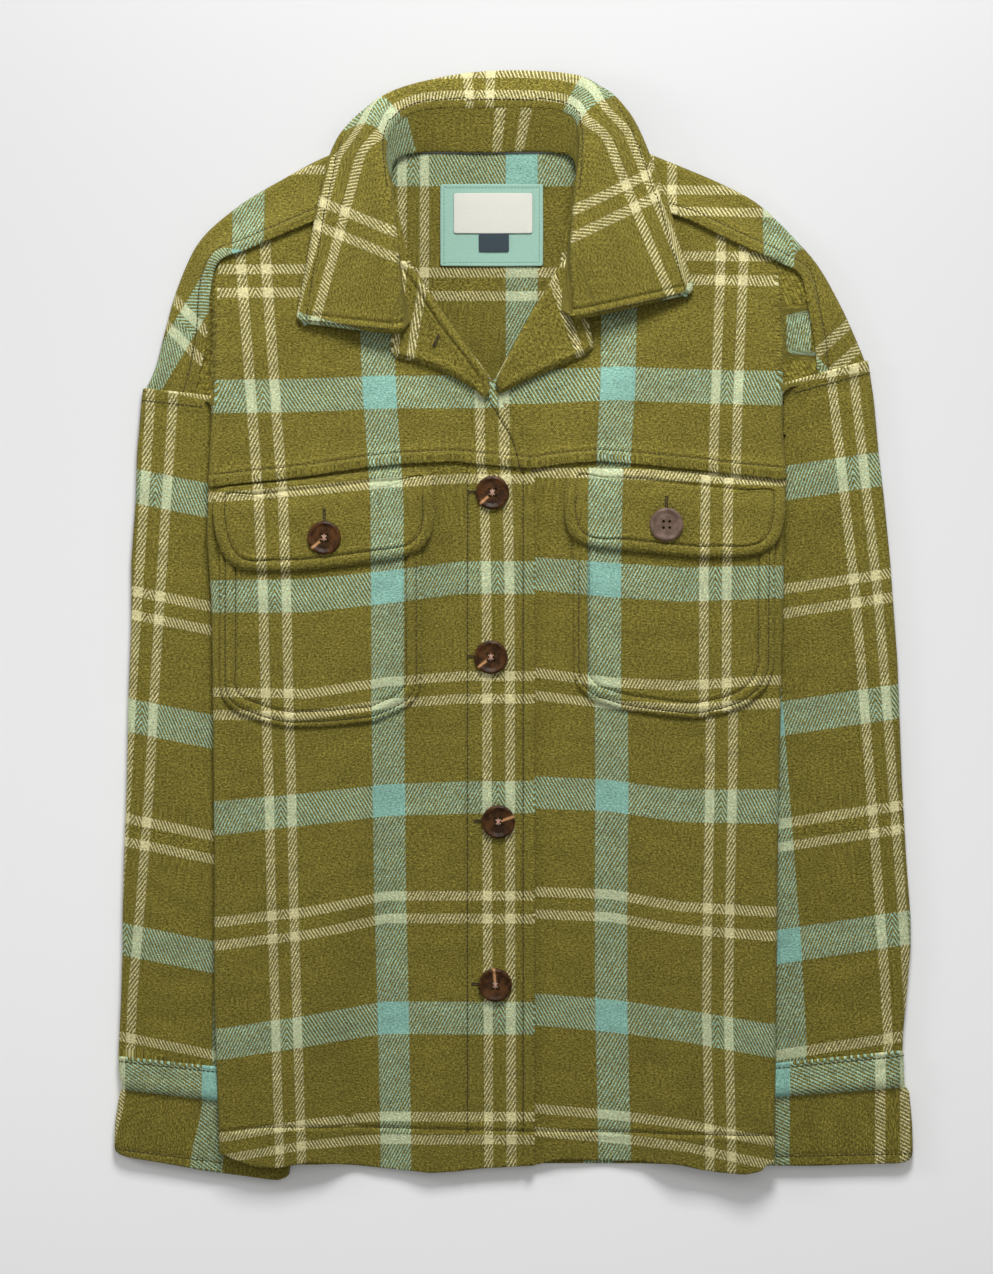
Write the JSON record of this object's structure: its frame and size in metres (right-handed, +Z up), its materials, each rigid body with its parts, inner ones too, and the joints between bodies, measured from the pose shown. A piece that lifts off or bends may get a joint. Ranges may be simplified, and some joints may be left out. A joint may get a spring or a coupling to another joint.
{
  "type": "shirt jacket",
  "caption": "Plaid flannel shirt-jacket lying face up, buttoned to the open lapels, with flap pockets on the chest and both sleeves folded straight down under its sides.",
  "frame": {"origin": "middle of the bounding box, on the floor the garment lies on", "axes": "+Y from hem to collar, +X from the wearer's right to left, +Z up out of the front"},
  "size_m": [0.544, 0.7553, 0.0317],
  "materials": {
    "plaid_flannel": "brushed twill",
    "patch_twill": "matte twill",
    "label_weave": "woven",
    "tag_weave": "woven",
    "button_resin": "polished horn look"
  },
  "bodies": {
    "root": {"back_body": "plaid_flannel", "back_yoke": "plaid_flannel", "front_lower_left": "plaid_flannel", "front_lower_right": "plaid_flannel", "front_upper_left": "plaid_flannel", "front_upper_right": "plaid_flannel", "sleeve_left": "plaid_flannel", "sleeve_right": "plaid_flannel", "cuff_left": "plaid_flannel", "cuff_right": "plaid_flannel", "lapel_left": "plaid_flannel", "lapel_right": "plaid_flannel", "pocket_left": "plaid_flannel", "pocket_right": "plaid_flannel", "flap_left": "plaid_flannel", "flap_right": "plaid_flannel", "collar_stand": "plaid_flannel", "collar_leaf": "plaid_flannel", "neck_patch": "patch_twill", "woven_label": "label_weave", "size_tag": "tag_weave", "button_front_1": "button_resin", "button_front_2": "button_resin", "button_front_3": "button_resin", "button_front_4": "button_resin", "button_flap_left": "button_resin", "button_flap_right": "button_resin"}
  },
  "joints": []
}
